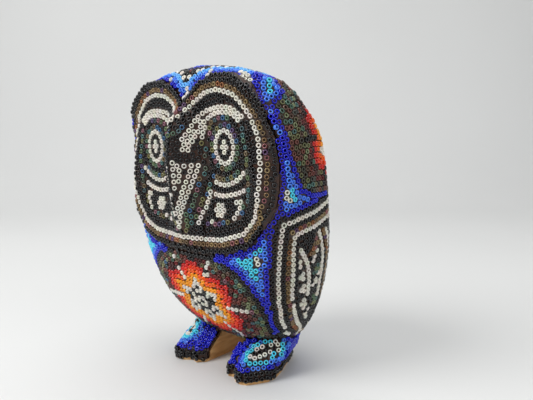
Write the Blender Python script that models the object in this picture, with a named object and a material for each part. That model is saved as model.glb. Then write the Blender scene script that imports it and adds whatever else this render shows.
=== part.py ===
"""Huichol beaded owl: a carved wood body, a coat of beeswax and a skin of glass beadwork.

The owl faces -Y, its left is +X, and its soles stand on the ground at Z = 0.
The beadwork is made in panels, one for each motif that is laid as a unit.
"""

import math

import bmesh
import bpy
import numpy as np
from mathutils import Vector

OWL = "huichol_beaded_owl"
MM = 0.001

# Driving sizes, in millimetres.
BEAD_PITCH = 2.15
BEAD_LENGTH = 1.4
WAX_THICKNESS = 1.2
GAP = 0.3
FACE_RISE = 1.2

HALF_GAP = GAP / 2
PLATE_EASE = 0.1

# Added to every y, so that the origin lies under the middle of the owl's bounding box.
CENTRING = 0.97

# Depths below the outer face of the beads.
WAX_DEPTH = BEAD_LENGTH + GAP
WAX_INNER_DEPTH = WAX_DEPTH + WAX_THICKNESS
WOOD_DEPTH = WAX_INNER_DEPTH + GAP
CLEARANCE_DEPTH = -GAP

# Cross-sections of the body over the beads, from the underside up to the crown:
# height, half width, y of the front, y of the widest place, y of the back, squareness of the front.
BODY_SECTIONS = [
    (11.0, 21.0, 0.5, 9.0, 25.0, 2.6),
    (13.5, 25.0, -4.0, 8.0, 28.0, 2.8),
    (20.0, 31.5, -11.5, 6.5, 31.0, 3.0),
    (31.0, 37.3, -19.3, 5.5, 34.0, 3.4),
    (45.0, 41.8, -24.5, 3.5, 35.0, 3.6),
    (60.0, 44.8, -27.3, 1.0, 34.0, 3.9),
    (80.0, 47.5, -27.8, -3.0, 30.0, 4.7),
    (100.0, 47.5, -27.6, -7.0, 25.0, 4.7),
    (112.0, 45.0, -27.3, -14.0, 17.5, 4.4),
    (121.0, 39.5, -26.8, -18.5, 8.0, 4.3),
    (126.5, 24.0, -24.0, -19.5, -3.0, 3.0),
    (129.3, 3.0, -18.5, -16.0, -13.5, 2.2),
]
STEPS_BETWEEN_SECTIONS = 2
BACK_SQUARENESS = 2.1
FINE_STEP = 7.5
FINE_REACH = 60
COARSE_STEP = 15

# The beak ridge and the two shallow dishes of the face: height, then how far out or in.
RIDGE = [(57.0, 0.0), (64.6, 2.8), (78.0, 6.4), (90.0, 8.0), (97.0, 8.0), (107.7, 5.0), (114.0, 0.0)]
DISH = [(57.0, 0.0), (61.0, 1.8), (67.0, 2.6), (73.0, 3.4), (82.0, 4.2), (90.0, 3.2), (97.0, 2.5),
        (105.0, 2.5), (112.0, 1.8), (119.0, 0.3), (122.0, 0.0)]
RIDGE_HALF_WIDTH = 11.5
DISH_FLAT_TO = 31.0
DISH_REACH = 41.0

# Undersides, so that the wood stands a little lower than the beads.
WOOD_UNDERSIDE = 11.0
BEAD_UNDERSIDE = 11.4
CLEARANCE_UNDERSIDE = 10.6
WOOD_SOLE = 0.0
SOLE_THICKNESS = 1.0
SOLE_INSET = 0.8
BEAD_SOLE = SOLE_THICKNESS + GAP

# Outlines are right-hand halves seen from the front (x, height) unless said otherwise.
FACE_HALF = [(0.0, 113.5), (8.0, 120.0), (16.0, 123.8), (25.5, 123.6), (34.5, 119.2), (41.0, 110.6),
             (44.0, 99.0), (44.7, 87.0), (43.2, 75.0), (39.5, 66.5), (32.5, 59.5), (21.0, 56.0),
             (10.0, 54.6), (0.0, 54.4)]
RING_HALF = [(0.0, 107.7), (6.0, 113.2), (13.0, 117.2), (20.0, 118.0), (28.0, 115.6), (34.0, 110.0),
             (38.1, 102.0), (40.0, 92.0), (39.9, 80.0), (37.3, 70.5), (31.5, 63.8), (21.0, 60.8),
             (10.0, 60.0), (0.0, 59.9)]
EYE_CENTRE = (22.1, 96.3)
EYE_RADII = (8.0, 9.2)
EYE_POINTS = 16
BEAK_HALF = [(0.0, 90.6), (10.8, 90.6), (1.2, 62.6), (0.0, 62.6)]
CHEST_HALF = [(0.0, 57.0), (8.0, 56.4), (14.0, 54.4), (20.0, 51.6), (26.0, 47.8), (29.8, 43.0), (31.6, 36.7),
              (31.8, 30.6), (29.6, 23.7), (26.4, 17.0), (24.0, 4.0), (0.0, 4.0)]
CHEST_BORDER = 2 * BEAD_PITCH

# The wing and the back flower are seen square on from these azimuths, round from the front:
# (distance along the tangent, height).
WING_AZIMUTH = 100.0
WING = [(-25.8, 69.9), (-19.5, 72.0), (-12.0, 73.8), (-5.2, 75.4), (4.0, 78.4), (14.0, 82.0), (26.0, 84.0),
        (30.0, 64.0), (29.5, 46.0), (24.0, 30.0), (15.0, 15.0), (6.0, 7.5), (-3.6, 14.5), (-12.9, 25.7),
        (-18.5, 34.7), (-22.2, 44.6), (-24.2, 53.7), (-25.3, 62.5)]
FEATHERS = [(-10.6, 58.8), (-2.0, 61.2), (7.0, 62.6), (16.0, 62.4), (16.8, 52.0), (14.5, 41.0), (9.0, 33.0),
            (4.0, 30.2), (-1.0, 32.6), (-5.2, 40.0), (-8.6, 50.0)]
WING_DEPTH = (12.0, 80.0)
FLOWER_AZIMUTH = 115.0
FLOWER = [(-29.0, 119.5), (-35.4, 111.1), (-36.0, 103.2), (-33.5, 95.3), (-31.2, 88.0), (-28.1, 80.8),
          (-22.0, 79.3), (-13.2, 78.8), (-5.0, 78.8), (40.0, 78.8), (40.0, 128.0), (-29.0, 128.0)]
FLOWER_DEPTH = (6.0, 80.0)

# The crown, seen from above (x, y), and the spine that runs down the back from it.
CROWN_HALF = [(0.0, -45.0), (33.0, -45.0), (34.0, -24.0), (35.0, -12.0), (30.0, 0.5), (18.0, 11.5),
              (7.0, 18.0), (0.0, 18.0)]
CROWN_START = 105.0
SPINE_HALF_WIDTH = 7.0
SPINE_FOOT = 78.8
BACK_START = 14.0
FACE_BACK = -12.0
CHEST_BACK = 5.0

# Cutting boxes reach past the owl; the blue field beside the face stops just under the crown.
FAR = 70.0
ABOVE_ALL = 140.0
FIELD_FOOT = 5.0
SIDE_TOP = 128.0

# The sharpest corner of an outline may only move this share of its full miter.
LEAST_MITER = 0.4

# The left foot from above (x, y), from the inner toe round the outside to the heel.
FOOT_OUTLINE = [(7.6, -12.0), (10.5, -15.3), (14.0, -14.4), (17.5, -17.3), (20.9, -17.9), (23.7, -16.6),
                (25.4, -13.8), (27.9, -8.1), (27.8, -3.0), (25.0, 4.0), (21.0, 11.5), (17.5, 18.5),
                (14.0, 23.0)]
FOOT_POINTS_BETWEEN = 1
FOOT_INNER_X = 3.0
# Height of each level of the foot, how far it has drawn in towards the ankle and its back swells out.
FOOT_LEVELS = [(0.0, 1.0, 0.0), (4.5, 1.0, 0.3), (8.5, 0.84, 3.4), (12.5, 0.55, 4.6), (17.0, 0.32, 3.2),
               (22.0, 0.24, 1.0)]
ANKLE = (16.0, 4.0)
FOOT_REACH = 20.0
LEG_MIDDLE = (13.0, 3.0)
SPOKE_ALLOWANCE = 1.2
INSTEP_START = 6.0
INSTEP_SLOPE = 0.7

# The saw cut between the legs, from above: (y, half width) at two places.
SLOT_FRONT = (-30.0, 5.7)
SLOT_BACK = (40.0, 13.2)
SLOT_TOP = 26.0
SLOT_BOTTOM = -5.0


# ---------------------------------------------------------------- plain geometry

def catmull_rom(before, start, end, after, t):
    """A point between start and end on the smooth curve through all four."""
    before, start, end, after = (np.array(p, float) for p in (before, start, end, after))
    linear = (end - before) * t
    square = (2 * before - 5 * start + 4 * end - after) * t * t
    cube = (3 * start - before - 3 * end + after) * t * t * t
    return 0.5 * (2 * start + linear + square + cube)


def open_curve(points, steps):
    """Points along a smooth open curve through the given points."""
    first = 2 * np.array(points[0]) - np.array(points[1])
    last = 2 * np.array(points[-1]) - np.array(points[-2])
    padded = [first, *points, last]
    curve = []
    for i in range(1, len(padded) - 2):
        for step in range(steps):
            curve.append(catmull_rom(*padded[i - 1:i + 3], step / steps))
    curve.append(np.array(points[-1], float))
    return curve


def whole(half):
    """A closed outline from its right-hand half, which starts and ends on the middle line."""
    left = [(-u, v) for u, v in reversed(half) if u > 0]
    return list(half) + left


def grown(outline, distance):
    """The outline moved outwards by a distance, or inwards by a negative one."""
    points = np.array(outline, float)
    after = np.roll(points, -1, axis=0)
    area = np.sum(points[:, 0] * after[:, 1] - after[:, 0] * points[:, 1])
    turn = math.copysign(1.0, area)
    edge = after - points
    edge /= np.linalg.norm(edge, axis=1)[:, None]
    normal = turn * np.stack([edge[:, 1], -edge[:, 0]], axis=1)
    miter = normal + np.roll(normal, 1, axis=0)
    miter /= np.maximum(np.sum(miter * normal, axis=1), LEAST_MITER)[:, None]
    return [tuple(p) for p in points + distance * miter]


def ellipse(centre, radii, count):
    """Points round an ellipse."""
    turns = [2 * math.pi * k / count for k in range(count)]
    return [(centre[0] + radii[0] * math.cos(a), centre[1] + radii[1] * math.sin(a)) for a in turns]


# ---------------------------------------------------------------- objects

def clear_scene():
    """Remove whatever the scene holds."""
    for obj in list(bpy.data.objects):
        bpy.data.objects.remove(obj, do_unlink=True)


def make_collection(name, helper):
    """A collection of parts, or of helpers that stay out of every render."""
    collection = bpy.data.collections.new(name)
    collection.hide_render = helper
    bpy.context.scene.collection.children.link(collection)
    return collection


def make_object(name, bm, collection):
    """Turn a bmesh in millimetres into an object in metres, centred over the origin."""
    bmesh.ops.translate(bm, vec=Vector((0.0, CENTRING, 0.0)), verts=bm.verts)
    bmesh.ops.scale(bm, vec=Vector((MM, MM, MM)), verts=bm.verts)
    bmesh.ops.recalc_face_normals(bm, faces=bm.faces)
    mesh = bpy.data.meshes.new(name)
    bm.to_mesh(mesh)
    bm.free()
    obj = bpy.data.objects.new(name, mesh)
    collection.objects.link(obj)
    if collection.hide_render:
        obj.hide_render = True
        obj.display_type = "WIRE"
    return obj


def material(name, colour, roughness, metallic=0.0):
    """A Principled material."""
    made = bpy.data.materials.new(name)
    made.use_nodes = True
    shader = made.node_tree.nodes["Principled BSDF"]
    shader.inputs["Base Color"].default_value = (*colour, 1.0)
    shader.inputs["Roughness"].default_value = roughness
    shader.inputs["Metallic"].default_value = metallic
    return made


def boolean(obj, operation, other):
    """Add an exact Boolean."""
    modifier = obj.modifiers.new(f"{operation.lower()}_{other.name}"[:60], "BOOLEAN")
    modifier.operation = operation
    modifier.solver = "EXACT"
    modifier.object = other


def prism(name, outline, collection, azimuth=0.0, depths=(0.0, FAR), side=1):
    """An outline pushed straight out along an azimuth, mirrored in x when side is -1."""
    turn = math.radians(azimuth)
    tangent = Vector((math.cos(turn), math.sin(turn), 0.0))
    outward = Vector((math.sin(turn), -math.cos(turn), 0.0))
    bm = bmesh.new()
    corners = []
    for u, v in outline:
        place = tangent * u + outward * depths[0] + Vector((0.0, 0.0, v))
        corners.append(bm.verts.new((place.x * side, place.y, place.z)))
    push = outward * (depths[1] - depths[0])
    extrude(bm, corners, Vector((push.x * side, push.y, 0.0)))
    return make_object(name, bm, collection)


def upright_prism(name, outline, heights, collection):
    """An outline from above pushed straight up between two heights."""
    bm = bmesh.new()
    corners = [bm.verts.new((x, y, heights[0])) for x, y in outline]
    extrude(bm, corners, Vector((0.0, 0.0, heights[1] - heights[0])))
    return make_object(name, bm, collection)


def extrude(bm, corners, push):
    """Close the corners with one face and push it out into a solid."""
    face = bm.faces.new(corners)
    moved = bmesh.ops.extrude_face_region(bm, geom=[face])
    verts = [item for item in moved["geom"] if isinstance(item, bmesh.types.BMVert)]
    bmesh.ops.translate(bm, verts=verts, vec=push)


def block(name, low, high, collection):
    """A box between two corners."""
    bm = bmesh.new()
    size = Vector(high) - Vector(low)
    bmesh.ops.create_cube(bm, size=1.0)
    bmesh.ops.scale(bm, vec=size, verts=bm.verts)
    bmesh.ops.translate(bm, vec=(Vector(low) + Vector(high)) / 2, verts=bm.verts)
    return make_object(name, bm, collection)


def loft(name, rings, collection):
    """A closed solid through rings that all have the same number of points."""
    bm = bmesh.new()
    rows = [[bm.verts.new(point) for point in ring] for ring in rings]
    count = len(rows[0])
    for lower, upper in zip(rows, rows[1:]):
        for k in range(count):
            after = (k + 1) % count
            bm.faces.new((lower[k], lower[after], upper[after], upper[k]))
    bm.faces.new(rows[0])
    bm.faces.new(rows[-1])
    bmesh.ops.triangulate(bm, faces=bm.faces)
    return make_object(name, bm, collection)


# ---------------------------------------------------------------- the body's form

def column_angles():
    """Azimuths of the body's columns in degrees: close together across the face."""
    fine = np.arange(-FINE_REACH, FINE_REACH + FINE_STEP / 2, FINE_STEP)
    coarse = np.arange(FINE_REACH + COARSE_STEP, 360 - FINE_REACH, COARSE_STEP)
    return [math.radians(a) for a in (*fine, *coarse)]


def at_height(table, z):
    """Read a two-column table at a height."""
    heights, values = zip(*table)
    return float(np.interp(z, heights, values))


def face_relief(x, z):
    """How far the face stands out from the plain body: a ridge between two shallow dishes."""
    ridge = at_height(RIDGE, z)
    dish = at_height(DISH, z)
    across = abs(x)
    if across < RIDGE_HALF_WIDTH:
        return ridge - (ridge + dish) * across / RIDGE_HALF_WIDTH
    reach = min(max(across - DISH_FLAT_TO, 0.0) / (DISH_REACH - DISH_FLAT_TO), 1.0)
    return -dish * 0.5 * (1.0 + math.cos(math.pi * reach))


def body_grid():
    """Rings of points over the beads, from the underside to the crown."""
    rings = []
    for z, half_width, front, middle, back, squareness in open_curve(BODY_SECTIONS, STEPS_BETWEEN_SECTIONS):
        ring = []
        for angle in column_angles():
            forward = math.cos(angle) > 0
            reach = middle - front if forward else back - middle
            exponent = squareness if forward else BACK_SQUARENESS
            across = abs(math.sin(angle)) / half_width
            along = abs(math.cos(angle)) / reach
            radius = (across ** exponent + along ** exponent) ** (-1.0 / exponent)
            x = radius * math.sin(angle)
            y = middle - radius * math.cos(angle)
            if forward:
                y -= face_relief(x, z)
            ring.append((x, y, z))
        rings.append(ring)
    return np.array(rings)


def grid_normals(grid):
    """Outward normals of the grid; level ones along its lowest ring."""
    around = np.roll(grid, -1, axis=1) - np.roll(grid, 1, axis=1)
    upward = np.gradient(grid, axis=0)
    normals = np.cross(around, upward)
    normals[0, :, 2] = 0.0
    return normals / np.linalg.norm(normals, axis=2)[:, :, None]


def body_solid(name, depth, underside, collection):
    """The whole body, a given depth below the outer face of the beads."""
    grid = body_grid()
    moved = grid - depth * grid_normals(grid)
    moved[0, :, 2] = underside
    return loft(name, moved, collection)


def foot_solid(name, side, depth, sole, collection):
    """One foot and leg, a given depth below its beads; its inner side overlaps the saw cut."""
    rings = [foot_ring(side, depth, level, sole) for level in FOOT_LEVELS]
    return loft(name, rings, collection)


def wooden_leg(name, side, collection):
    """The wood of one leg, with the thin sole that shows below the beads."""
    rings = [foot_ring(side, SOLE_INSET, (z, 1.0, 0.0), z) for z in (WOOD_SOLE, SOLE_THICKNESS)]
    rings += [foot_ring(side, WOOD_DEPTH, level, SOLE_THICKNESS + HALF_GAP) for level in FOOT_LEVELS]
    return loft(name, rings, collection)


def foot_ring(side, depth, level, sole):
    """The outline of one foot at one level."""
    height, draw_in, swell = level
    ring = []
    for point in open_curve(FOOT_OUTLINE, FOOT_POINTS_BETWEEN):
        forward = min(max((ANKLE[1] - point[1]) / FOOT_REACH, 0.0), 1.0)
        x, y = shrunk(draw_towards_ankle(point, forward, draw_in, swell), depth)
        z = height - INSTEP_SLOPE * depth * forward if height > INSTEP_START else max(height, sole)
        ring.append((x * side, y, z))
    ring.append((FOOT_INNER_X * side, *ring[-1][1:]))
    ring.append((FOOT_INNER_X * side, *ring[0][1:]))
    return ring


def shrunk(point, depth):
    """Move a point of the foot straight towards the middle of the leg."""
    spoke = np.array(point) - np.array(LEG_MIDDLE)
    length = np.linalg.norm(spoke)
    return tuple(np.array(LEG_MIDDLE) + spoke * (1.0 - SPOKE_ALLOWANCE * depth / length))


def draw_towards_ankle(point, forward, draw_in, swell):
    """Draw the toes in towards the ankle, and swell the back of the leg."""
    x, y = point
    x = ANKLE[0] + (x - ANKLE[0]) * (1.0 - (1.0 - draw_in) * forward)
    if y < ANKLE[1]:
        y = ANKLE[1] + (y - ANKLE[1]) * draw_in
    if x > ANKLE[0]:
        x += swell * (1.0 - forward)
    return (x, y)


# ---------------------------------------------------------------- helpers shared by the parts

class Helpers:
    """Solids that shape the parts and stay hidden."""

    def __init__(self, collection):
        self.collection = collection
        self.made = {}

    def get(self, name, maker):
        """The helper of this name, made the first time it is asked for."""
        if name not in self.made:
            self.made[name] = maker("cut_" + name)
        return self.made[name]

    def body(self, depth, underside):
        name = f"body_{depth:.1f}_{underside:.1f}"
        return self.get(name, lambda n: body_solid(n, depth, underside, self.collection))

    def foot(self, side, depth, sole):
        name = f"foot_{side}_{depth:.1f}_{sole:.1f}"
        return self.get(name, lambda n: foot_solid(n, side, depth, sole, self.collection))

    def foot_room(self, side, depth):
        """A foot without the part of it that the saw cut takes away."""
        name = f"foot_room_{side}_{depth:.1f}"
        room = self.get(name, lambda n: foot_solid(n, side, depth, WOOD_SOLE, self.collection))
        if not room.modifiers:
            boolean(room, "DIFFERENCE", self.slot(-GAP))
        return room

    def slot(self, clearance):
        front = SLOT_FRONT[1] + clearance
        back = SLOT_BACK[1] + clearance
        outline = [(-front, SLOT_FRONT[0]), (front, SLOT_FRONT[0]),
                   (back, SLOT_BACK[0]), (-back, SLOT_BACK[0])]
        heights = (SLOT_BOTTOM, SLOT_TOP)
        name = f"slot_{clearance:.1f}"
        return self.get(name, lambda n: upright_prism(n, outline, heights, self.collection))

    def face(self, growth):
        outline = grown(whole(FACE_HALF), growth)
        depths = (-FACE_BACK, FAR)
        return self.get(f"face_{growth:.1f}", lambda n: prism(n, outline, self.collection, depths=depths))

    def ring(self, growth):
        outline = grown(whole(RING_HALF), growth)
        depths = (-FACE_BACK, FAR)
        return self.get(f"ring_{growth:.1f}", lambda n: prism(n, outline, self.collection, depths=depths))

    def eye(self, side, growth):
        radii = (EYE_RADII[0] + growth, EYE_RADII[1] + growth)
        outline = ellipse(EYE_CENTRE, radii, EYE_POINTS)
        depths = (-FACE_BACK, FAR)
        name = f"eye_{side}_{growth:.2f}"
        return self.get(name, lambda n: prism(n, outline, self.collection, depths=depths, side=side))

    def beak(self, growth):
        outline = grown(whole(BEAK_HALF), growth)
        depths = (-FACE_BACK, FAR)
        return self.get(f"beak_{growth:.2f}", lambda n: prism(n, outline, self.collection, depths=depths))

    def chest(self, growth):
        outline = grown(whole(CHEST_HALF), growth)
        depths = (-CHEST_BACK, FAR)
        return self.get(f"chest_{growth:.2f}", lambda n: prism(n, outline, self.collection, depths=depths))

    def wing(self, side, growth):
        outline = grown(WING, growth)
        name = f"wing_{side}_{growth:.2f}"
        return self.get(name, lambda n: prism(n, outline, self.collection, WING_AZIMUTH, WING_DEPTH, side))

    def feathers(self, side, growth):
        outline = grown(FEATHERS, growth)
        name = f"feathers_{side}_{growth:.2f}"
        return self.get(name, lambda n: prism(n, outline, self.collection, WING_AZIMUTH, WING_DEPTH, side))

    def flower(self, side, growth):
        outline = grown(FLOWER, growth)
        name = f"flower_{side}_{growth:.2f}"
        place = (FLOWER_AZIMUTH, FLOWER_DEPTH, side)
        return self.get(name, lambda n: prism(n, outline, self.collection, *place))

    def crown(self, growth):
        outline = grown(whole(CROWN_HALF), growth)
        heights = (CROWN_START, ABOVE_ALL)
        return self.get(f"crown_{growth:.2f}", lambda n: upright_prism(n, outline, heights, self.collection))

    def box(self, name, low, high):
        return self.get(name, lambda n: block(n, low, high, self.collection))


def skin(piece, helpers, rise=0.0):
    """Keep only the part of a piece that lies in the layer of beads, raised on the face plate."""
    boolean(piece, "INTERSECT", helpers.body(-rise, BEAD_UNDERSIDE))
    boolean(piece, "DIFFERENCE", helpers.body(BEAD_LENGTH - rise, CLEARANCE_UNDERSIDE))


def clear_of_feet(piece, helpers):
    """Leave room where the feet meet the body."""
    for side in (1, -1):
        boolean(piece, "DIFFERENCE", helpers.foot_room(side, CLEARANCE_DEPTH))


def clear_of_face(piece, helpers):
    """Leave room round the face plate."""
    boolean(piece, "DIFFERENCE", helpers.face(GAP))


def side_name(side):
    return "left" if side > 0 else "right"


# ---------------------------------------------------------------- the parts

def wood_carving(parts, helpers):
    """The carved core: body, raised face plate, two legs and two soles with a saw cut between."""
    wood = body_solid("wood_carving", WOOD_DEPTH, WOOD_UNDERSIDE, parts)
    plate = prism("cut_face_plate", grown(whole(FACE_HALF), -WOOD_DEPTH / 2),
                  helpers.collection, depths=(-FACE_BACK, FAR))
    boolean(plate, "INTERSECT", helpers.body(WOOD_DEPTH - FACE_RISE, WOOD_UNDERSIDE))
    boolean(wood, "UNION", plate)
    for side in (1, -1):
        leg = wooden_leg(f"cut_leg_{side}", side, helpers.collection)
        boolean(leg, "DIFFERENCE", helpers.slot(0.0))
        boolean(wood, "UNION", leg)
    wood.data.materials.append(material("wood", (0.56, 0.37, 0.19), 0.6))


def wax_coat(parts, helpers):
    """One coat of wax over the body, with a pocket for each foot's own coat."""
    wax = body_solid("wax_coat", WAX_DEPTH, BEAD_UNDERSIDE, parts)
    plate = prism("cut_wax_plate", grown(whole(FACE_HALF), -HALF_GAP),
                  helpers.collection, depths=(-FACE_BACK, FAR))
    boolean(plate, "INTERSECT", helpers.body(WAX_DEPTH - FACE_RISE, BEAD_UNDERSIDE))
    boolean(wax, "UNION", plate)
    boolean(wax, "DIFFERENCE", helpers.body(WAX_INNER_DEPTH, CLEARANCE_UNDERSIDE))
    hollow = prism("cut_wax_hollow", grown(whole(FACE_HALF), -WAX_THICKNESS - GAP),
                   helpers.collection, depths=(-FACE_BACK, FAR))
    boolean(hollow, "INTERSECT", helpers.body(WAX_INNER_DEPTH - FACE_RISE + PLATE_EASE, CLEARANCE_UNDERSIDE))
    boolean(wax, "DIFFERENCE", hollow)
    for side in (1, -1):
        boolean(wax, "DIFFERENCE", helpers.foot_room(side, BEAD_LENGTH))
    wax.data.materials.append(material("beeswax", (0.21, 0.12, 0.06), 0.55))


def foot_coat(parts, helpers, side):
    """The wax over one foot."""
    wax = foot_solid(f"{side_name(side)}_foot_wax", side, WAX_DEPTH, BEAD_SOLE, parts)
    boolean(wax, "DIFFERENCE", helpers.foot(side, WAX_INNER_DEPTH, WOOD_SOLE))
    boolean(wax, "DIFFERENCE", helpers.slot(GAP))
    boolean(wax, "DIFFERENCE", helpers.body(BEAD_LENGTH, CLEARANCE_UNDERSIDE))
    wax.data.materials.append(material(f"{wax.name}_beeswax", (0.21, 0.12, 0.06), 0.55))


def foot_beads(parts, helpers, side):
    """The beads over one foot: black edge, blue rows, a white diamond on the instep."""
    beads = foot_solid(f"{side_name(side)}_foot_beads", side, 0.0, BEAD_SOLE, parts)
    boolean(beads, "DIFFERENCE", helpers.foot(side, BEAD_LENGTH, WOOD_SOLE))
    boolean(beads, "DIFFERENCE", helpers.slot(GAP))
    boolean(beads, "DIFFERENCE", helpers.body(CLEARANCE_DEPTH, CLEARANCE_UNDERSIDE))
    beads.data.materials.append(material(f"{beads.name}_glass", (0.05, 0.10, 0.50), 0.3))


def face_panel(name, outline, parts, colour):
    """A panel of the face, not yet cut to the skin."""
    piece = prism(name, outline, parts, depths=(-FACE_BACK, FAR))
    piece.data.materials.append(material(f"{name}_glass", colour, 0.3))
    return piece


def face_beads(parts, helpers):
    """The border, the white outline, the beak, the two eyes and the two face discs."""
    ring = whole(RING_HALF)
    row = BEAD_PITCH / 2

    border = face_panel("face_border_beads", whole(FACE_HALF), parts, (0.09, 0.06, 0.04))
    skin(border, helpers, FACE_RISE)
    boolean(border, "DIFFERENCE", helpers.ring(row + HALF_GAP))

    outline = face_panel("face_outline_beads", grown(ring, row - HALF_GAP), parts, (0.80, 0.79, 0.76))
    skin(outline, helpers, FACE_RISE)
    boolean(outline, "DIFFERENCE", helpers.ring(-row + HALF_GAP))

    beak = face_panel("beak_beads", grown(whole(BEAK_HALF), -HALF_GAP), parts, (0.72, 0.71, 0.68))
    skin(beak, helpers, FACE_RISE)

    for side in (1, -1):
        disc = face_panel(f"{side_name(side)}_face_disc_beads", grown(ring, -row - HALF_GAP), parts,
                          (0.06, 0.07, 0.06))
        skin(disc, helpers, FACE_RISE)
        other_half = helpers.box(f"half_{-side}", (HALF_GAP * side, -FAR, 0.0), (-FAR * side, FAR, ABOVE_ALL))
        boolean(disc, "DIFFERENCE", helpers.beak(HALF_GAP))
        boolean(disc, "DIFFERENCE", helpers.eye(side, HALF_GAP))
        boolean(disc, "DIFFERENCE", other_half)

        radii = (EYE_RADII[0] - HALF_GAP, EYE_RADII[1] - HALF_GAP)
        eye = prism(f"{side_name(side)}_eye_beads", ellipse(EYE_CENTRE, radii, EYE_POINTS), parts,
                    depths=(-FACE_BACK, FAR), side=side)
        skin(eye, helpers, FACE_RISE)
        eye.data.materials.append(material(f"{eye.name}_glass", (0.40, 0.42, 0.38), 0.3))


def chest_beads(parts, helpers):
    """The chest flower and the black border round it."""
    outline = whole(CHEST_HALF)
    border = prism("chest_border_beads", grown(outline, -HALF_GAP), parts, depths=(-CHEST_BACK, FAR))
    flower = prism("chest_flower_beads", grown(outline, -CHEST_BORDER - HALF_GAP), parts,
                   depths=(-CHEST_BACK, FAR))
    for piece in (border, flower):
        skin(piece, helpers)
        clear_of_face(piece, helpers)
        clear_of_feet(piece, helpers)
    boolean(border, "DIFFERENCE", helpers.chest(-CHEST_BORDER + HALF_GAP))
    border.data.materials.append(material("chest_border_glass", (0.02, 0.02, 0.02), 0.3))
    flower.data.materials.append(material("chest_flower_glass", (0.60, 0.10, 0.03), 0.3))


def wing_beads(parts, helpers, side):
    """The rows round one wing and the feathers inside them."""
    border = prism(f"{side_name(side)}_wing_border_beads", grown(WING, -HALF_GAP), parts,
                   WING_AZIMUTH, WING_DEPTH, side)
    feathers = prism(f"{side_name(side)}_wing_feather_beads", grown(FEATHERS, -HALF_GAP),
                     parts, WING_AZIMUTH, WING_DEPTH, side)
    for piece in (border, feathers):
        skin(piece, helpers)
    clear_of_feet(border, helpers)
    boolean(border, "DIFFERENCE", helpers.flower(side, HALF_GAP))
    boolean(border, "DIFFERENCE", helpers.chest(HALF_GAP))
    boolean(border, "DIFFERENCE", helpers.feathers(side, HALF_GAP))
    border.data.materials.append(material(f"{border.name}_glass", (0.20, 0.19, 0.17), 0.3))
    feathers.data.materials.append(material(f"{feathers.name}_glass", (0.14, 0.15, 0.13), 0.3))


def back_flower_beads(parts, helpers, side):
    """One of the two flowers high on the back."""
    piece = prism(f"{side_name(side)}_back_flower_beads", grown(FLOWER, -HALF_GAP), parts,
                  FLOWER_AZIMUTH, FLOWER_DEPTH, side)
    skin(piece, helpers)
    clear_of_face(piece, helpers)
    boolean(piece, "DIFFERENCE", helpers.crown(HALF_GAP))
    spine_edge = SPINE_HALF_WIDTH + HALF_GAP
    low = (-FAR * side, -FAR, 0.0)
    high = (spine_edge * side, FAR, ABOVE_ALL)
    boolean(piece, "DIFFERENCE", helpers.box(f"beyond_spine_{side}", low, high))
    piece.data.materials.append(material(f"{piece.name}_glass", (0.50, 0.09, 0.03), 0.3))


def crown_beads(parts, helpers):
    """The blue and white rows over the top of the head."""
    outline = grown(whole(CROWN_HALF), -HALF_GAP)
    piece = upright_prism("crown_beads", outline, (CROWN_START, ABOVE_ALL), parts)
    skin(piece, helpers)
    clear_of_face(piece, helpers)
    piece.data.materials.append(material("crown_glass", (0.08, 0.16, 0.55), 0.3))


def spine_beads(parts, helpers):
    """The band that runs down the middle of the back between the flowers."""
    edge = SPINE_HALF_WIDTH - HALF_GAP
    start = CROWN_HALF[-1][1] + HALF_GAP
    piece = block("spine_beads", (-edge, start, SPINE_FOOT + HALF_GAP), (edge, FAR, ABOVE_ALL), parts)
    skin(piece, helpers)
    piece.data.materials.append(material("spine_glass", (0.10, 0.20, 0.60), 0.3))


def tail_beads(parts, helpers):
    """The low back between the wings."""
    low = (-FAR, BACK_START + HALF_GAP, FIELD_FOOT)
    high = (FAR, FAR, SPINE_FOOT - HALF_GAP)
    piece = block("tail_beads", low, high, parts)
    skin(piece, helpers)
    clear_of_feet(piece, helpers)
    for side in (1, -1):
        boolean(piece, "DIFFERENCE", helpers.wing(side, HALF_GAP))
    piece.data.materials.append(material("tail_glass", (0.06, 0.10, 0.35), 0.3))


def side_beads(parts, helpers, side):
    """The blue field beside the face, over the wing's shoulder and down beside the chest."""
    low = (HALF_GAP * side, -FAR, FIELD_FOOT)
    high = (FAR * side, BACK_START - HALF_GAP, SIDE_TOP)
    piece = block(f"{side_name(side)}_side_beads", low, high, parts)
    skin(piece, helpers)
    clear_of_face(piece, helpers)
    boolean(piece, "DIFFERENCE", helpers.chest(HALF_GAP))
    boolean(piece, "DIFFERENCE", helpers.wing(side, HALF_GAP))
    boolean(piece, "DIFFERENCE", helpers.flower(side, HALF_GAP))
    boolean(piece, "DIFFERENCE", helpers.crown(HALF_GAP))
    clear_of_feet(piece, helpers)
    piece.data.materials.append(material(f"{piece.name}_glass", (0.05, 0.14, 0.62), 0.3))


def main():
    clear_scene()
    parts = make_collection(OWL, False)
    helpers = Helpers(make_collection("cutters", True))
    wood_carving(parts, helpers)
    wax_coat(parts, helpers)
    face_beads(parts, helpers)
    chest_beads(parts, helpers)
    crown_beads(parts, helpers)
    spine_beads(parts, helpers)
    tail_beads(parts, helpers)
    for side in (1, -1):
        side_beads(parts, helpers, side)
        wing_beads(parts, helpers, side)
        back_flower_beads(parts, helpers, side)
        foot_coat(parts, helpers, side)
        foot_beads(parts, helpers, side)


main()
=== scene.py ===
import math
import random

import bpy
import numpy as np
from mathutils import Matrix, Vector
from mathutils.bvhtree import BVHTree


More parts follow.
